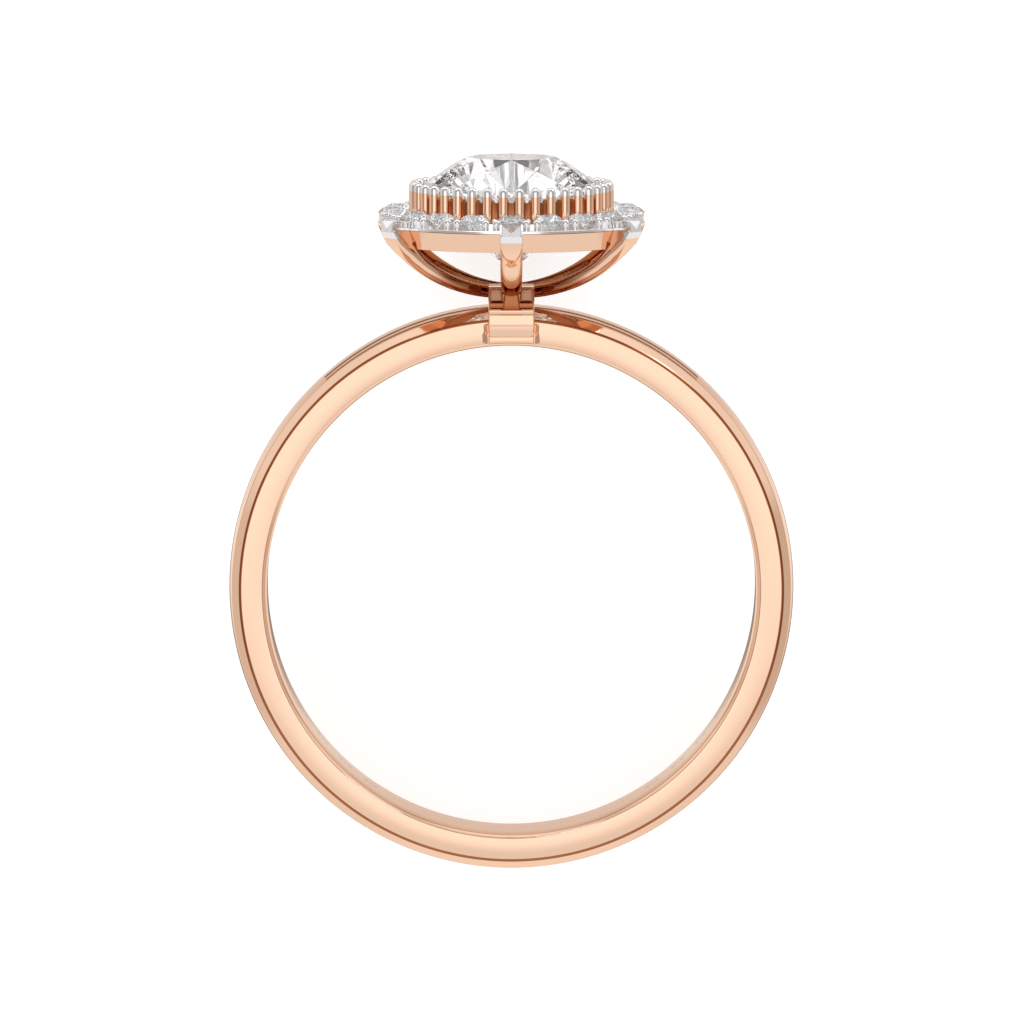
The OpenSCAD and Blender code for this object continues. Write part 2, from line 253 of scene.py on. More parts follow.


# plating holds From Height, From Radius and Full Height; foot holds the heights between which
# the painted shade on the lower end fades into the metal's own tone
def polishedMetal(name, tint, roughness=0.05, wear=0.04, grain=6.0, bump=0.01, plating=None, foot=None):
    material, tree, shader = newMaterial(name)
    shader.inputs["Metallic"].default_value = 1
    shader.inputs["Base Color"].default_value = tint
    shader.inputs["Specular Tint"].default_value = grazingTint
    polish = placeGroup(tree, polishGroup, Roughness=roughness, Wear=wear, Grain=grain)
    link(tree, polish.outputs["Roughness"], shader.inputs["Roughness"])
    bumpNode = tree.nodes.new("ShaderNodeBump")
    bumpNode.inputs["Strength"].default_value = bump
    bumpNode.inputs["Distance"].default_value = metal["bumpDistance"] * mm
    link(tree, polish.outputs["Height"], bumpNode.inputs["Height"])
    link(tree, bumpNode.outputs["Normal"], shader.inputs["Normal"])
    if plating:
        edge = placeGroup(tree, platingGroup, **{
            "Metal": tint, "Plating": whiteTint, "From Height": plating[0], "From Radius": plating[1],
            "Full Height": plating[2]})
        tone = edge.outputs["Color"]
    else:
        # a faint drift of the alloy's tone
        drift = noiseNode(tree, placeGroup(tree, ringPlaceGroup).outputs["Place"], metal["driftScale"])
        deeper = [channel * metal["driftDepth"] for channel in tint[:3]] + [1]
        tone = mixColour(tree, drift.outputs["Fac"], tint, deeper)
    if foot:
        # painted shade: the claws get darker towards their lower ends
        place = placeGroup(tree, ringPlaceGroup)
        tone = mixColour(tree, rangeNode(tree, place.outputs["Up"], *foot), footShadeTint, tone)
    # painted light: where it is seen through a stone, the metal's colour is painted pale grey
    path = tree.nodes.new("ShaderNodeLightPath")
    inStone = mathNode(tree, "MINIMUM", path.outputs["Transmission Depth"], 1)
    link(tree, mixColour(tree, inStone, tone, paintedInStoneTint), shader.inputs["Base Color"])
    return material


roseGold = polishedMetal("roseGold", roseTint)
whitePlated = polishedMetal("whitePlated", whiteTint, roughness=0.06)
prongMetal = polishedMetal("prongMetal", roseTint, plating=(14.07, 0.0, 14.1))
clawMetal = polishedMetal("clawMetal", roseTint, plating=(12.6, 5.17, 12.87), foot=(10.85, 11.4))
wallPlated = polishedMetal("wallPlated", whiteTint, roughness=0.18)
# painted shade: this darker rose gold stands in for shade in recesses and for dark reflections
paintedShadeMetal = polishedMetal("paintedShadeMetal", paintedShadeTint, roughness=0.1)
padMetal = polishedMetal("padMetal", padTint, roughness=0.3, grain=18.0, bump=1.0)

# a faint haze varies the polish of the stones
diamond = {"ior": 2.42, "hazeScale": 0.8, "hazeFrom": (0.3, 0.8), "hazeTo": (0.0, 0.012)}


def cutStone(name, tint, look):
    material, tree, shader = newMaterial(name)
    shader.inputs["Base Color"].default_value = tint
    shader.inputs["IOR"].default_value = look["ior"]
    shader.inputs["Transmission Weight"].default_value = 1
    shader.inputs["Metallic"].default_value = 0
    haze = noiseNode(tree, placeGroup(tree, ringPlaceGroup).outputs["Place"], look["hazeScale"])
    roughness = rangeNode(tree, haze.outputs["Fac"], *look["hazeFrom"], *look["hazeTo"])
    link(tree, roughness, shader.inputs["Roughness"])
    return material


centreDiamond = cutStone("centreDiamond", (0.99, 0.99, 1.0, 1), diamond)
haloDiamond = cutStone("haloDiamond", (0.97, 0.98, 1.0, 1), diamond)
print("materials made")


# mesh helpers, all in the ring's own millimetres
def addPiece(name, shape, material, sharp=32):
    points, faces = shape
    mesh = bpy.data.meshes.new(name)
    mesh.from_pydata([ringToRow @ Vector(p) for p in points], [], faces)
    work = bmesh.new()
    work.from_mesh(mesh)
    bmesh.ops.remove_doubles(work, verts=work.verts, dist=weldDistance)
    bmesh.ops.recalc_face_normals(work, faces=work.faces)
    work.to_mesh(mesh)
    work.free()
    mesh.shade_smooth()
    mesh.set_sharp_from_angle(angle=math.radians(sharp))
    mesh.materials.append(material)
    piece = bpy.data.objects.new(name, mesh)
    scene.collection.objects.link(piece)
    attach(piece, "root")
    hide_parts("ring_metal")
    return piece


def skin(rings, wrap=False, caps=False):
    # quads between closed rings of points
    count = len(rings[0])
    points = [p for ring in rings for p in ring]
    faces = []
    for i in range(len(rings) if wrap else len(rings) - 1):
        a, b = i * count, ((i + 1) % len(rings)) * count
        for j in range(count):
            k = (j + 1) % count
            faces.append((a + j, a + k, b + k, b + j))
    if caps:
        faces.append(tuple(range(count)))
        faces.append(tuple(range(len(points) - 1, len(points) - count - 1, -1)))
    return points, faces


def merged(shapes):
    points, faces = [], []
    for shapePoints, shapeFaces in shapes:
        start = len(points)
        points += list(shapePoints)
        faces += [tuple(start + i for i in face) for face in shapeFaces]
    return points, faces


def softened(corners, steps=4):
    # corners are (u, v, cut): each corner is rounded over the distance cut on both sides
    result = []
    count = len(corners)
    for i, (u, v, cut) in enumerate(corners):
        here = Vector((u, v))
        if cut <= 0:
            result.append((u, v))
            continue
        before = Vector(corners[i - 1][:2])
        after = Vector(corners[(i + 1) % count][:2])
        start = here + (before - here).normalized() * cut
        stop = here + (after - here).normalized() * cut
        for step in range(steps + 1):
            t = step / steps
            p = start * (1 - t) ** 2 + here * 2 * t * (1 - t) + stop * t ** 2
            result.append((p.x, p.y))
    return result


def bothHalves(half):
    # a profile of (u, v, cut) with v from 0 out, and its mirror image
    return half + [(u, -v, cut) for u, v, cut in reversed(half) if v > 0]


def insetOutline(outline, amounts):
    # moves every point of a clockwise or counter-clockwise outline inwards, by its own amount
    area = sum(a[0] * b[1] - b[0] * a[1] for a, b in zip(outline, outline[1:] + outline[:1]))
    turn = 1 if area > 0 else -1
    moved = []
    count = len(outline)
    for i, p in enumerate(outline):
        d = Vector(outline[(i + 1) % count]) - Vector(outline[i - 1])
        d.normalize()
        moved.append((p[0] - turn * d.y * amounts[i], p[1] + turn * d.x * amounts[i]))
    return moved


def roundHead(shape, angle):
    c, s = math.cos(angle), math.sin(angle)
    points, faces = shape
    return [(x * c - y * s, x * s + y * c, z) for x, y, z in points], faces


def block(low, high, cut, taper=1, steps=4):
    # box with rounded edges; taper widens its lower end across the hole
    work = bmesh.new()
    corners = []
    for z in (low[2], high[2]):
        for y in (low[1], high[1]):
            for x in (low[0], high[0]):
                corners.append(work.verts.new((x * (taper if z == low[2] else 1), y, z)))
    for face in ((0, 1, 3, 2), (4, 6, 7, 5), (0, 4, 5, 1), (2, 3, 7, 6), (0, 2, 6, 4), (1, 5, 7, 3)):
        work.faces.new([corners[i] for i in face])
    bmesh.ops.bevel(work, geom=list(work.edges), offset=cut, segments=steps, profile=0.5, affect="EDGES")
    work.verts.index_update()
    shape = [tuple(v.co) for v in work.verts], [tuple(v.index for v in f.verts) for f in work.faces]
    work.free()
    return shape


def turned(profile, x, y=0.0, sides=20):
    # an open profile of (radius, height) turned about an upright line at x, y
    points = []
    for i in range(sides):
        a = 2 * math.pi * i / sides
        points += [(x + r * math.cos(a), y + r * math.sin(a), z) for r, z in profile]
    count = len(profile)
    faces = []
    for i in range(sides):
        a, b = i * count, ((i + 1) % sides) * count
        for j in range(count - 1):
            faces.append((a + j, b + j, b + j + 1, a + j + 1))
    return points, faces


def ballTop(radius, middle, first=0.0, steps=6):
    # the round top of a ball as (radius, height), from the angle first up
    points = []
    for i in range(steps + 1):
        a = first + (math.pi / 2 - first) * i / steps
        points.append((radius * math.cos(a), middle + radius * math.sin(a)))
    return points[:-1] + [(0.0, points[-1][1])]


def onCircle(profile, angle):
    # a profile of (radius, height) in the upright plane at an angle round the head
    return [(r * math.cos(angle), r * math.sin(angle), z) for r, z in profile]


def roundTheHead(count, slices):
    # angles round the head, each with its distance from the nearest of count even places,
    # the first of which is towards the viewer
    pitch = 2 * math.pi / count
    for i in range(count * slices):
        angle = toViewer + pitch * i / slices
        yield angle, (angle - toViewer + pitch / 2) % pitch - pitch / 2


# band
band = {
    "boreR": 8.65, "boreHalf": 1.45, "boreEdge": 0.12, "faceR": 9.61, "faceEdge": 0.06,
    "shoulderR": 9.89, "shoulderY": 1.6, "shoulderEdge": 0.05, "crownRise": 0.11, "crownSteps": 10,
    "halfWidth": 1.95, "comfort": 0.16, "comfortShare": 0.35, "comfortRun": 0.2025, "comfortEdge": 0.04,
    "notchX": 0.955, "notchRun": 0.09, "notchDepth": 0.1, "notchTop": 9.5,
    "notchEnd": (0.06, 0.02),  # its upper end, below and above notchTop
    "stations": 360, "notchSlice": 0.01, "notchSliceR": 9.2,
    "marks": 46, "markHalf": 0.06, "markDepth": 0.03, "markSlope": 0.012,
    "markParts": ((-0.29, -0.13), (-0.04, 0.04), (0.13, 0.29)),  # dash, dot, dash along the bore
    "lineDepth": 0.05, "lineShare": 0.62,  # reach of the painted dark line, in Y and outwards
}


def markEdges(b):
    # angles at which the engraved dashes and dots begin and end
    angles = []
    for i in range(b["marks"]):
        middle = (i + 0.5) * 2 * math.pi / b["marks"]
        for ends in b["markParts"]:
            for end in ends:
                for side in (-0.5, 0.5):
                    angles.append(middle + (end + side * b["markSlope"]) / b["boreR"])
    return angles


def markAt(b, angle):
    pitch = 2 * math.pi / b["marks"]
    along = (angle % pitch - pitch / 2) * b["boreR"]
    return any(low <= along <= high for low, high in b["markParts"])


def bandProfile(b):
    # (radius, distance from the middle) round one section
    bore, width = b["boreR"], b["halfWidth"]
    half = [
        (bore, 0, 0), (bore, b["markHalf"], 0), (bore, b["markHalf"] + b["markSlope"], 0),
        (bore, b["boreHalf"], b["boreEdge"]),
        (bore + b["comfort"] * b["comfortShare"], width - b["comfortRun"], b["comfortEdge"]),
        (bore + b["comfort"], width, b["comfortEdge"]),
        (b["notchTop"] - b["notchEnd"][0], width, 0), (b["notchTop"] + b["notchEnd"][1], width, 0),
        (b["faceR"], width, b["faceEdge"]), (b["shoulderR"], b["shoulderY"], b["shoulderEdge"])]
    for i in range(b["crownSteps"] - 1, -1, -1):
        s = i / b["crownSteps"]
        half.append((b["shoulderR"] + b["crownRise"] * (1 - s * s), s * b["shoulderY"], 0))
    return softened(bothHalves(half))


def bandShape(b):
    profile = bandProfile(b)
    edge, cut = b["notchX"], b["notchSlice"]
    angles = [2 * math.pi * i / b["stations"] for i in range(b["stations"])]
    slices = [x + step for x in (edge, edge - b["notchRun"]) for step in (cut, 0, -cut)]
    angles += [side * math.asin(x / b["notchSliceR"]) % (2 * math.pi) for x in slices for side in (-1, 1)]
    angles += markEdges(b)
    rings = []
    for a in sorted(angles):
        ring = []
        engraved = markAt(b, a)
        for r, y in profile:
            if engraved and r < b["boreR"] + tolerance and abs(y) < b["markHalf"] + tolerance:
                r += b["markDepth"]
            x, z = r * math.sin(a), r * math.cos(a)
            if z > 0 and r < b["notchTop"]:
                share = min(1, max(0, (edge - abs(x)) / b["notchRun"]))
                y = math.copysign(min(abs(y), b["halfWidth"] - b["notchDepth"] * share), y)
            ring.append((x, y, z))
        rings.append(ring)
    return skin(rings, wrap=True)


def darkenEdges(piece, b, material):
    # painted dark reflection: a fine dark line between each side face and its bevel
    piece.data.materials.append(material)
    rowToRing = ringToRow.inverted()
    for face in piece.data.polygons:
        place = rowToRing @ face.center
        out = math.hypot(place.x, place.z) - b["faceR"]
        if abs(place.y) > b["halfWidth"] - b["lineDepth"] and -1 < out / b["faceEdge"] < b["lineShare"]:
            face.material_index = 1


bandPiece = addPiece("band", bandShape(band), roseGold)
darkenEdges(bandPiece, band, paintedShadeMetal)
print("band made")


# collar on the band, with its groove and recessed strip
collar = {
    "halfX": 0.815, "front": 2.07, "top": 10.0, "groove": 9.82, "step": 9.42, "low": 8.98,
    # its front from the top down: the height it is measured from, how far above that,
    # how far behind the front, and the rounding
    "profile": (
        ("top", 0.0, 0.02, 0.06), ("top", -0.09, 0.0, 0.02),
        ("groove", 0.035, 0.006, 0.015), ("groove", 0.0, 0.04, 0.015),
        ("groove", -0.035, 0.006, 0.015), ("groove", -0.07, 0.0, 0.015),
        ("step", 0.02, 0.0, 0.02), ("step", -0.03, 0.012, 0.02),
        ("low", 0.08, 0.022, 0.05), ("low", 0.0, 0.13, 0.03)),
    "stripY": 1.9, "stripLowR": 8.79, "stripEdge": 0.02, "stripRise": 0.01,
    "corner": 0.13, "endRound": 0.05, "endSteps": 5, "slice": 0.02, "slices": 5, "middleSteps": 6,
}


def collarOutline(c, x, inset):
    # (Y, Z) round the collar at x; its lower corners are rounded near both ends
    bottom = math.sqrt(c["stripLowR"] ** 2 - x * x)
    turn = max(0.0, (abs(x) - c["halfX"] + c["corner"]) / c["corner"])
    low = c["low"] + c["corner"] * (1 - math.sqrt(max(0.0, 1 - turn * turn)))
    heights = {**c, "low": low}
    half = [(c["top"], 0, 0)]
    half += [(heights[name] + up, c["front"] - behind, cut) for name, up, behind, cut in c["profile"]]
    half += [(low, c["stripY"], 0), (bottom, c["stripY"], c["stripEdge"]), (bottom - c["stripRise"], 0, 0)]
    full = softened(bothHalves(half))
    return insetOutline([(y, z) for z, y in full], [inset] * len(full))


def collarShape(c):
    # outlines across X, drawn in by a rounded edge at both ends
    end = []
    for i in range(c["endSteps"], -1, -1):
        a = math.pi / 2 * i / c["endSteps"]
        end.append((c["halfX"] - c["endRound"] * (1 - math.sin(a)), c["endRound"] * (1 - math.cos(a))))
    edge = end[-1][0]
    near = [edge - c["slice"] * i for i in range(1, c["slices"] + 1)]
    between = [edge * (1 - 2 * i / c["middleSteps"]) for i in range(1, c["middleSteps"])]
    inner = [(x, 0) for x in near + between + [-x for x in reversed(near)]]
    places = end + inner + [(-x, inset) for x, inset in reversed(end)]
    return skin([[(x, y, z) for y, z in collarOutline(c, x, inset)] for x, inset in places], caps=True)


addPiece("collar", collarShape(collar), roseGold)
print("collar made")


# hub, its pads and the two posts
hub = {
    "halfX": 0.815, "front": 1.79, "low": 10.23, "top": 10.83, "edge": 0.07, "fineEdge": 0.03,
    "barY": 1.25, "barLow": 10.75, "coreTop": 10.5, "coreLap": 0.1,
    "lintelLow": 10.5, "lintelTop": 10.565, "lintelX": 0.03, "lintelY": 0.01,
    "recessIn": 0.01, "recessLap": 0.03, "recessEdge": 0.05,
    "neckX": 0.79, "neckY": 1.147, "neckLow": 9.9, "neckTop": 10.14, "neckEdge": 0.02,
    "stemHalf": 0.4, "stemLow": 10.0, "stemLap": 0.1,
    "postX": 0.235, "postBack": 1.0, "postIn": 0.012, "postLow": 9.93, "postTop": 10.52, "postFlare": 1.34,
    "postEdge": 0.05,
    "padIn": 0.31, "padOut": 0.765, "padBack": 1.6, "padFront": 1.85, "padLow": 10.245, "padTop": 10.725,
    "padEdge": 0.085, "padDrop": 0.06,
}


def hubShape(h):
    # a tall bar carries the front pads; behind it the claws meet on a lower block
    x, lintelX = h["halfX"], h["postX"] + h["lintelX"]
    return merged([
        block((-x, -h["front"], h["barLow"]), (x, -h["barY"], h["top"]), h["fineEdge"]),
        block((-x, -h["barY"] - h["coreLap"], h["low"]), (x, h["front"], h["coreTop"]), h["edge"]),
        block((-lintelX, -h["padFront"] - h["lintelY"], h["lintelLow"]),
              (lintelX, -h["padBack"], h["lintelTop"]), h["fineEdge"])])


def postShape(h):
    # the bar's recess, the neck with a deep slot over it, its stem, and a flared post at
    # the front and the back
    x, neckX, neckY, stem = h["halfX"], h["neckX"], h["neckY"], h["stemHalf"]
    shapes = [
        block((-x, -h["front"] + h["recessIn"], h["low"]),
              (x, -h["barY"] - h["recessIn"], h["barLow"] + h["recessLap"]), h["recessEdge"]),
        block((-neckX, -neckY, h["neckLow"]), (neckX, neckY, h["neckTop"]), h["neckEdge"]),
        block((-stem, -stem, h["stemLow"]), (stem, stem, h["low"] + h["stemLap"]), h["fineEdge"])]
    for side in (-1, 1):
        near, far = sorted((side * h["postBack"], side * (h["padFront"] - h["postIn"])))
        shapes.append(block((-h["postX"], near, h["postLow"]), (h["postX"], far, h["postTop"]),
                            h["postEdge"], h["postFlare"]))
    return merged(shapes)


def padShape(h):
    shapes = []
    for side in (-1, 1):
        top = h["padTop"] if side < 0 else h["coreTop"] - h["padDrop"]
        for left in (-1, 1):
            xs = sorted((left * h["padIn"], left * h["padOut"]))
            ys = sorted((side * h["padBack"], side * h["padFront"]))
            shapes.append(block((xs[0], ys[0], h["padLow"]), (xs[1], ys[1], top), h["padEdge"]))
    return merged(shapes)


addPiece("hub", hubShape(hub), roseGold)
# painted shade: the bar's recess, the neck, the stem and the posts take the darker rose gold
addPiece("hub_posts", postShape(hub), paintedShadeMetal)
addPiece("hub_pads", padShape(hub), padMetal)
print("hub made")


# claws
claw = {
    "stones": 20, "claws": 6,
    "foot": (0.603, 10.25), "footStart": 0.05, "edge": (5.49, 12.83), "inner": 4.69, "innerGap": 0.11,
    "footPull": 0.508, "footAngle": 3.8, "bendPull": 0.261, "bendAngle": 62.2, "thick": 0.52,
    "top": 13.21, "topIn": 0.1, "ledge": 0.03, "lip": 0.012,
    "armSteps": 44, "outerSteps": 8, "topSteps": 12,
    "footHalf": 0.335, "endHalf": 0.4, "endR": 5.0, "flatShare": 0.74, "round": 0.1,
    "domeRound": 0.2, "domeFrom": 12.36, "domeTo": 11.86,
    "earHalf": 0.335, "sideTop": 12.9, "floorHalf": 0.17, "floorEnd": 5.38,
    "gapTop": 13.23, "gapFrom": 4.73, "gapFall": 0.4, "gapSlope": 0.77,
    # slices across the claw, as shares of its half width
    "slices": [0, 0.1, 0.2, 0.26, 0.3, 0.4, 0.5, 0.6, 0.68, 0.74, 0.79, 0.805, 0.82, 0.835, 0.85,
               0.88, 0.92, 0.96, 0.985, 1.0],
    "beadR": 0.062, "beadRing": 5.4, "beadLow": (12.83, 12.84), "beadZ": 12.9, "beadSides": 16,
}


def clawCurve(c, t):
    p0, p3 = Vector(c["foot"]), Vector(c["edge"])
    reach = p3.x - p0.x
    foot, bend = math.radians(c["footAngle"]), math.radians(c["bendAngle"])
    p1 = p0 + reach * c["footPull"] * Vector((math.cos(foot), math.sin(foot)))
    p2 = p3 - reach * c["bendPull"] * Vector((math.cos(bend), math.sin(bend)))
    place = p0 * (1 - t) ** 3 + p1 * 3 * t * (1 - t) ** 2 + p2 * 3 * t * t * (1 - t) + p3 * t ** 3
    way = (p1 - p0) * (1 - t) ** 2 + (p2 - p1) * 2 * t * (1 - t) + (p3 - p2) * t * t
    return place, way.normalized()


def clawOutline(c):
    # side view as (radius, height): along the underside, up the outer end, over the top and
    # back along the inside; also returns the index at which the inside begins
    under, inside = [], []
    for i in range(c["armSteps"] + 1):
        place, way = clawCurve(c, i / c["armSteps"])
        under.append((place.x, place.y))
        p = place + c["thick"] * Vector((-way.y, way.x))
        inside.append((p.x, p.y))
    inside = [p for p in inside if p[0] < c["inner"] - c["innerGap"]]
    edgeR, edgeZ = c["edge"]
    outer = []
    for i in range(c["outerSteps"] + 1):
        t = i / c["outerSteps"]
        outer.append((edgeR - c["ledge"] - (c["topIn"] - c["ledge"]) * t,
                      edgeZ + c["lip"] + (c["top"] - edgeZ - c["lip"]) * t))
    start, steps = outer[-1][0], c["topSteps"]
    top = [(start + (c["inner"] - start) * i / steps, c["top"]) for i in range(1, steps + 1)]
    outline = [(c["footStart"], c["foot"][1])] + under + outer + top
    outline += inside[::-1] + [(c["footStart"], inside[0][1])]
    return outline, len(outline) - len(inside) - 1


def clawInset(c, share, z):
    # how far the surface lies under the flat face: the face is flat at the tip and domed along the arm
    flatness = min(1.0, max(0.0, (z - c["domeTo"]) / (c["domeFrom"] - c["domeTo"])))
    flat = c["flatShare"] * math.sqrt(flatness)
    deep = c["round"] * flatness + c["domeRound"] * (1 - flatness)
    beyond = max(0.0, (abs(share) - flat) / (1 - flat))
    return deep * (1 - math.sqrt(max(0.0, 1 - beyond * beyond)))


def clawTop(c, r, side):
    # top of the claw's end: two ears with a V between them, and lower outside the ears
    if side > c["earHalf"]:
        return c["sideTop"]
    floor = c["gapTop"] - (r - c["gapFrom"]) * c["gapFall"]
    kite = c["floorHalf"] * max(0.0, c["floorEnd"] - r) / (c["floorEnd"] - c["inner"])
    return min(c["top"], floor + max(0.0, side - kite) * c["gapSlope"])


def clawShape(c, outline):
    rings = []
    for share in [-share for share in reversed(c["slices"][1:])] + c["slices"]:
        ring = []
        for r, z in insetOutline(outline, [clawInset(c, share, z) for r, z in outline]):
            side = share * (c["footHalf"] + (c["endHalf"] - c["footHalf"]) * min(1, r / c["endR"]))
            ring.append((r, side, min(z, clawTop(c, r, abs(side)))))
        rings.append(ring)
    return skin(rings, caps=True)


def clawBeadShape(c):
    low, stemLow = c["beadLow"]
    profile = [(0.0, low), (c["beadR"], stemLow)] + ballTop(c["beadR"], c["beadZ"])
    return turned(profile, c["beadRing"], sides=c["beadSides"])


def onEveryClaw(c, shape):
    # each claw stands in front of the halo stone nearest to an even share of the round
    angles = []
    for i in range(c["claws"]):
        stone = round(i * c["stones"] / c["claws"])
        angles.append(toViewer + math.radians(stone * 360 / c["stones"]))
    return merged([roundHead(shape, angle) for angle in angles])


def darkenInside(piece, c, first, count, material):
    # the faces turned to the stone see little light and are painted darker as painted shade
    piece.data.materials.append(material)
    perClaw = len(piece.data.polygons) // c["claws"]
    for face in piece.data.polygons:
        place = face.index % perClaw
        isCap = place >= perClaw - 2
        if not isCap and first <= place % count < count - 1:
            face.material_index = 1


outline, insideStart = clawOutline(claw)
claws = addPiece("claws", onEveryClaw(claw, clawShape(claw, outline)), clawMetal, sharp=28)
darkenInside(claws, claw, insideStart, len(outline), paintedShadeMetal)
addPiece("claw_beads", onEveryClaw(claw, clawBeadShape(claw)), whitePlated)
print("claws made")


# halo: plate, wall with scallops and seats, beads
halo = {
    "count": 20, "stoneRing": 4.19, "stoneR": 0.54, "gap": 0.023, "stoneZ": 13.2715,
    "innerR": 3.3, "lowR": 4.43, "outerR": 4.73, "wallR": 4.64,
    "plateLow": 12.1815, "plateTop": 12.8515, "rimTop": 12.9615, "wallTop": 13.2015,
    "plateIn": 0.03, "plateDrop": 0.006, "plateCuts": (0.02, 0.025, 0.012, 0.005, 0.01), "plateSlices": 240,
    # the rim under the wall from the inside out: the radius and the height that it is measured from
    "rim": (
        ("innerR", 0.0, "plateTop", 0.0), ("outerR", -0.03, "plateTop", 0.0),
        ("outerR", 0.0, "plateTop", 0.012), ("outerR", 0.0, "rimTop", -0.02),
        ("outerR", -0.015, "rimTop", -0.004), ("wallR", 0.01, "rimTop", 0.0)),
    "wallRise": 0.004, "wallEdge": 0.012, "wallSlices": 56, "wallSteps": 30,
    "scallopR": 0.36, "scallopZ": 13.3215, "coneLow": 12.772, "seatDrop": 0.014,
    "beadR": 0.15, "beadRing": 4.57, "beadPair": 0.38, "beadZ": 13.2115, "beadLow": 0.05,
    "innerBeadR": 0.12, "innerBeadRing": 3.735, "stemShare": 0.9, "beadSteps": 12,
}


def plateShape(h):
    corners = [(h["innerR"], h["plateLow"]), (h["lowR"], h["plateLow"]),
               (h["outerR"], h["plateTop"] - h["plateDrop"]), (h["outerR"] - h["plateIn"], h["plateTop"]),
               (h["innerR"], h["plateTop"])]
    profile = softened([(r, z, cut) for (r, z), cut in zip(corners, h["plateCuts"])])
    slices = h["plateSlices"]
    return skin([onCircle(profile, 2 * math.pi * i / slices) for i in range(slices)], wrap=True)


def haloHeight(h, r, offset):
    # top of the halo's wall at a radius and an angle from the nearest stone
    t = r * math.sin(offset)
    out = r * math.cos(offset) - h["stoneRing"]
    height = h["wallTop"]
    fromAxis = math.hypot(t, out)
    seatR = h["stoneR"] + h["gap"]
    if fromAxis < seatR:
        seatTop = h["stoneZ"] - h["seatDrop"]
        height = min(height, h["coneLow"] + (seatTop - h["coneLow"]) * fromAxis / seatR)
    if out > 0 and abs(t) < h["scallopR"]:
        height = min(height, h["scallopZ"] - math.sqrt(h["scallopR"] ** 2 - t * t))
    return height


def wallShape(h):
    rim = [(h[radius] + out, h[height] + up) for radius, out, height, up in h["rim"]]
    foot = h["rimTop"] + h["wallRise"]
    depth, steps = h["wallR"] - h["innerR"], h["wallSteps"]
    radii = [h["wallR"] - depth * i / steps for i in range(1, steps + 1)]
    rings = []
    for angle, offset in roundTheHead(h["count"], h["wallSlices"]):
        outer = haloHeight(h, h["wallR"], offset)
        ring = rim + [(h["wallR"], min(foot, outer)), (h["wallR"], max(foot, outer - h["wallEdge"])),
                      (h["wallR"] - h["wallEdge"], outer)]
        ring += [(r, haloHeight(h, r, offset)) for r in radii]
        rings.append(onCircle(ring, angle))
    return skin(rings, wrap=True)


def haloBeads(h):
    # each bead is a ball on a slightly thinner stem
    profiles = []
    for radius in (h["beadR"], h["innerBeadR"]):
        stem = radius * h["stemShare"]
        low = h["plateTop"] + h["beadLow"]
        ball = ballTop(radius, h["beadZ"], -math.acos(stem / radius), h["beadSteps"])
        profiles.append([(0.0, low), (stem, low)] + ball)
    outer, inner = profiles
    shapes = []
    for i in range(h["count"]):
        angle = toViewer + (i + 0.5) * 2 * math.pi / h["count"]
        for side in (-1, 1):
            shapes.append(roundHead(turned(outer, h["beadRing"], side * h["beadPair"] / 2), angle))
        shapes.append(roundHead(turned(inner, h["innerBeadRing"]), angle))
    return merged(shapes)


addPiece("halo_plate", plateShape(halo), roseGold)
addPiece("halo_wall", wallShape(halo), wallPlated, sharp=40)
addPiece("halo_beads", haloBeads(halo), whitePlated)
print("halo made")


# prong cup
cup = {
    "prongs": 38, "prongR": 0.177, "prongRing": 3.45, "prongTop": 14.3915, "prongLow": 0.05, "prongSides": 24,
    "low": 12.2415, "innerR": 3.2, "outerR": 3.38, "slotLow": 13.8415, "slotHalf": 0.108,
    "edge": 0.03, "edgeMiddle": 0.009, "wallSlices": 16,
}


def cupWall(c):
    rings = []
    for angle, offset in roundTheHead(c["prongs"], c["wallSlices"]):
        t = min(c["slotHalf"], abs(c["prongRing"] * math.sin(offset)))
        top = c["slotLow"] + c["slotHalf"] - math.sqrt(max(0.0, c["slotHalf"] ** 2 - t * t))
        rings.append(onCircle([
            (c["innerR"], c["low"]), (c["outerR"], c["low"]), (c["outerR"], top - c["edge"]),
            (c["outerR"] - c["edgeMiddle"], top - c["edgeMiddle"]), (c["outerR"] - c["edge"], top),
            (c["innerR"], top)], angle))
    return skin(rings, wrap=True)


def prongShapes(c):
    low = c["low"] + c["prongLow"]
    profile = [(0.0, low), (c["prongR"], low)] + ballTop(c["prongR"], c["prongTop"] - c["prongR"])
    prong = turned(profile, c["prongRing"], sides=c["prongSides"])
    return merged([roundHead(prong, toViewer + (i + 0.5) * 2 * math.pi / c["prongs"])
                   for i in range(c["prongs"])])


# painted shade: the cup's wall between the prongs takes the darker rose gold
addPiece("cup_wall", cupWall(cup), paintedShadeMetal)
addPiece("prongs", prongShapes(cup), prongMetal)
print("prong cup made")


# stones keep their solids and get their material
nodeMaterials = {"ring_metal": roseGold, "centre_stone": centreDiamond}
for name, node in frame["nodes"].items():
    material = nodeMaterials.get(name, haloDiamond)
    if not node.data.materials:
        node.data.materials.append(material)
    for index in range(len(node.data.materials)):
        node.data.materials[index] = material
print("stones dressed")


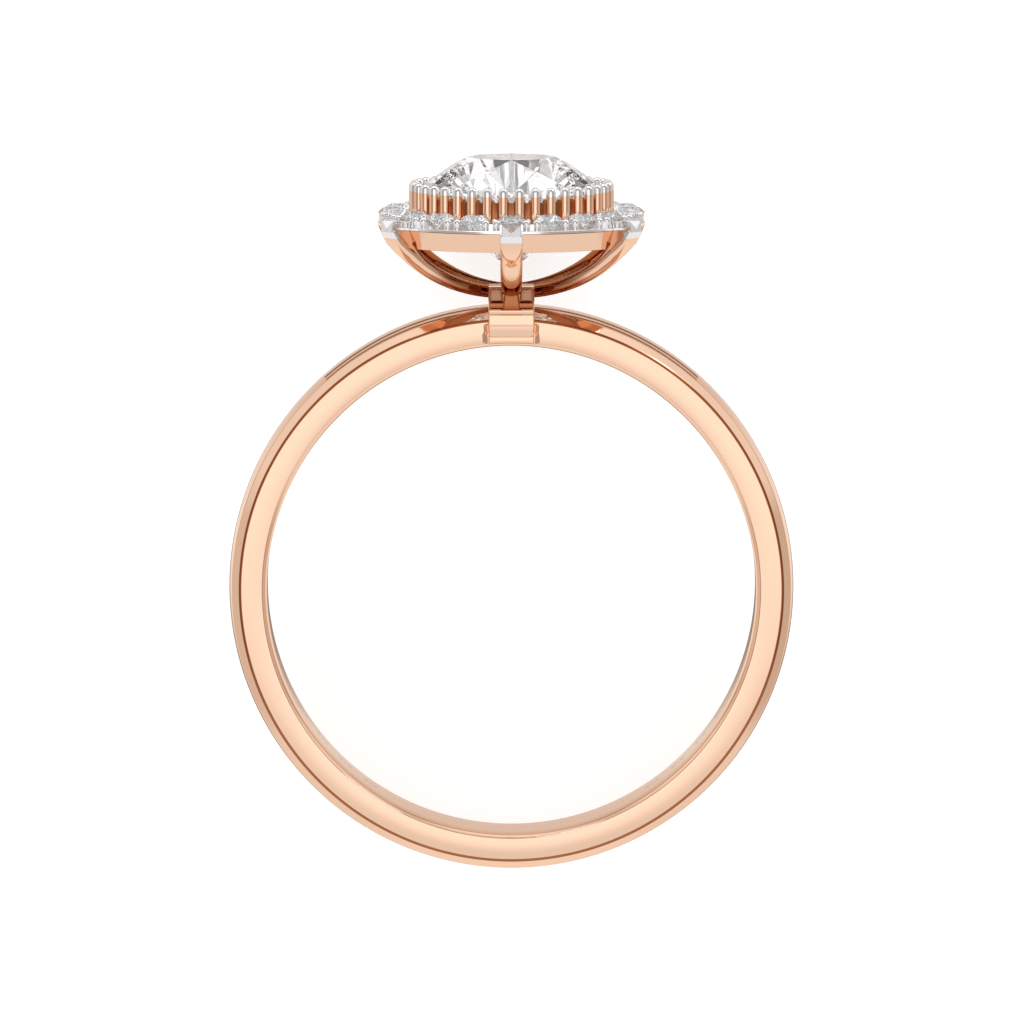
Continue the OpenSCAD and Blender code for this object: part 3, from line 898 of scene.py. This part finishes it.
# studio: floor, soft light from all round and one soft card above
# directions are in the ring's own frame: X right, Y away from the viewer, Z up to the stone
studio = {
    "floorR": 3, "floorSides": 96,  # metres
    "floorTint": (0.7, 0.7, 0.7, 1), "floorRoughness": 0.9, "floorSpecular": 0.1, "floorGlow": 0.55,
    "pale": (1, 1, 1, 1), "dome": 1.0, "ambient": 0.46,
    # direction, cosine where a soft patch starts and where it is full, brightness
    "patches": [
        ((0.0, -0.6, 0.8), 0.9, 0.96, 0.05),
        ((0.0, -0.9, 0.42), 0.9, 0.95, 0.8),
        ((0.0, 0.0, -1.0), 0.25, 0.42, 0.93),
        ((0.0, 0.95, -0.3), 0.6, 0.85, 1.0),
        ((0.0, 0.3, -0.95), 0.88, 0.97, 1.0),
        ((-0.95, 0.25, -0.1), 0.84, 0.94, 0.76),
        ((0.95, 0.25, -0.1), 0.84, 0.94, 0.66),
        ((-0.74, 0.15, 0.65), 0.84, 0.94, 0.95),
        ((0.74, 0.15, 0.65), 0.84, 0.94, 0.95),
        ((0.0, 0.1, 1.0), 0.8, 0.92, 1.05),
        ((0.0, 0.9, 0.3), 0.9, 0.97, 0.75),
        ((0.0, 0.97, -0.24), 0.965, 0.99, 0.3),
    ],
    "glints": [((-0.25, -0.2, 0.95), 0.985, 0.99, 4.0), ((0.6, -0.1, 0.8), 0.985, 0.99, 4.0)],
    "warmth": (1.18, 1.32),  # how much faster green and blue fall than red in the darker parts
    "cardHeight": 0.15, "cardLow": -0.1, "cardHigh": 0.02, "cardHalf": 0.07,  # metres, in the row's frame
    "cardFade": (-0.051, -0.036), "cardLight": (0.88, 1.27),
    # brown strips behind the band, seen only in reflections as painted dark reflections; mm and degrees
    "stripY": 7.0, "strips": ((11.35, 11.85), (12.45, 13.15)), "stripTurn": 44, "stripSteps": 64,
    "stripShadeTint": (0.2, 0.09, 0.04, 1),
    # what the stones show: a noise, dark below the first limit and bright above the second
    "sparkScale": 1.9, "sparkSeed": 0.0, "sparkLimits": (0.462, 0.477), "sparkLight": (0.1, 1.35),
    # towards the sides it gets at least this bright: two shares across and their brightness
    "sparkSides": (0.3, 0.75, 0.0, 0.75),
    "bounces": 32, "glossyBounces": 24, "transmissionBounces": 32,
}


def addStage(name, mesh, material, onlyMirrored):
    mesh.materials.append(material)
    thing = bpy.data.objects.new(name, mesh)
    scene.collection.objects.link(thing)
    thing.visible_glossy = onlyMirrored
    thing.visible_transmission = False
    if onlyMirrored:
        thing.visible_camera = False
        thing.visible_diffuse = False
        thing.visible_shadow = False


def addFloor(s):
    work = bmesh.new()
    bmesh.ops.create_circle(work, cap_ends=True, segments=s["floorSides"], radius=s["floorR"])
    mesh = bpy.data.meshes.new("floor")
    work.to_mesh(mesh)
    work.free()
    material, _, shader = newMaterial("floorPaper")
    shader.inputs["Base Color"].default_value = s["floorTint"]
    shader.inputs["Roughness"].default_value = s["floorRoughness"]
    shader.inputs["Specular IOR Level"].default_value = s["floorSpecular"]
    shader.inputs["Emission Color"].default_value = s["pale"]
    shader.inputs["Emission Strength"].default_value = s["floorGlow"]
    addStage("floor", mesh, material, False)


def glowMaterial(name, colour):
    material, tree, shader = newMaterial(name)
    tree.nodes.remove(shader)
    glow = tree.nodes.new("ShaderNodeEmission")
    glow.inputs["Color"].default_value = colour
    link(tree, glow.outputs[0], tree.nodes["Material Output"].inputs["Surface"])
    return material, tree, glow


def addCard(s):
    # soft card over the ring: bright, with one edge fading, as the band's side face mirrors it
    mesh = bpy.data.meshes.new("soft_card")
    half, low, high = s["cardHalf"], s["cardLow"], s["cardHigh"]
    corners = [(x, y, s["cardHeight"]) for x, y in ((-half, low), (half, low), (half, high), (-half, high))]
    mesh.from_pydata(corners, [], [(0, 1, 2, 3)])
    material, tree, glow = glowMaterial("cardPaper", s["pale"])
    coordinates = tree.nodes.new("ShaderNodeTexCoord")
    parts = tree.nodes.new("ShaderNodeSeparateXYZ")
    link(tree, coordinates.outputs["Object"], parts.inputs[0])
    link(tree, rangeNode(tree, parts.outputs["Y"], *s["cardFade"], *s["cardLight"]), glow.inputs["Strength"])
    addStage("soft_card", mesh, material, True)


def addStrips(s):
    # brown strips low behind the band, seen only in reflections: painted dark reflections for the dark lines
    # along its outside
    points, faces = [], []
    steps = s["stripSteps"]
    for strip in s["strips"]:
        start = len(points)
        for i in range(steps + 1):
            a = math.radians(s["stripTurn"]) * (2 * i / steps - 1)
            points += [ringToRow @ Vector((r * math.sin(a), s["stripY"], r * math.cos(a))) for r in strip]
        for i in range(start, start + 2 * steps, 2):
            faces.append((i, i + 1, i + 3, i + 2))
    mesh = bpy.data.meshes.new("dark_strips")
    mesh.from_pydata(points, [], faces)
    material, _, _ = glowMaterial("paintedReflectionStrips", s["stripShadeTint"])
    addStage("dark_strips", mesh, material, True)


def addStudioLight(s):
    world = bpy.data.worlds.new("studio")
    scene.world = world
    world.use_nodes = True
    tree = world.node_tree
    direction = tree.nodes.new("ShaderNodeTexCoord").outputs["Generated"]
    mirrored = s["ambient"]
    for patch, start, full, brightness in s["patches"] + s["glints"]:
        towards = dotNode(tree, direction, (ringAxes @ Vector(patch)).normalized())
        mirrored = mixValue(tree, rangeNode(tree, towards, start, full), mirrored, brightness)
    # what the stones show through their facets: bright and dark fields side by side
    fields = noiseNode(tree, direction, s["sparkScale"], detail=0)
    fields.noise_dimensions = "4D"
    fields.inputs["W"].default_value = s["sparkSeed"]
    spark = rangeNode(tree, fields.outputs["Fac"], *s["sparkLimits"], *s["sparkLight"])
    across = mathNode(tree, "ABSOLUTE", dotNode(tree, direction, acrossAxis))
    spark = mathNode(tree, "MAXIMUM", spark, rangeNode(tree, across, *s["sparkSides"]))
    path = tree.nodes.new("ShaderNodeLightPath")
    inStone = mathNode(tree, "MINIMUM", path.outputs["Transmission Depth"], 1)
    diffuse = path.outputs["Is Diffuse Ray"]
    colour = tree.nodes.new("ShaderNodeCombineColor")
    for socket, power in zip(colour.inputs, (1.0,) + s["warmth"]):
        light = mixValue(tree, inStone, mathNode(tree, "POWER", mirrored, power), spark)
        link(tree, mixValue(tree, diffuse, light, s["dome"]), socket)
    seen = mixColour(tree, path.outputs["Is Camera Ray"], colour.outputs[0], s["pale"])
    link(tree, seen, tree.nodes["Background"].inputs["Color"])


addFloor(studio)
addCard(studio)
addStrips(studio)
addStudioLight(studio)
scene.view_settings.view_transform = "Standard"
scene.view_settings.look = "None"
scene.cycles.max_bounces = studio["bounces"]
scene.cycles.glossy_bounces = studio["glossyBounces"]
scene.cycles.transmission_bounces = studio["transmissionBounces"]
scene.cycles.caustics_reflective = True
scene.cycles.caustics_refractive = True
print("studio set")
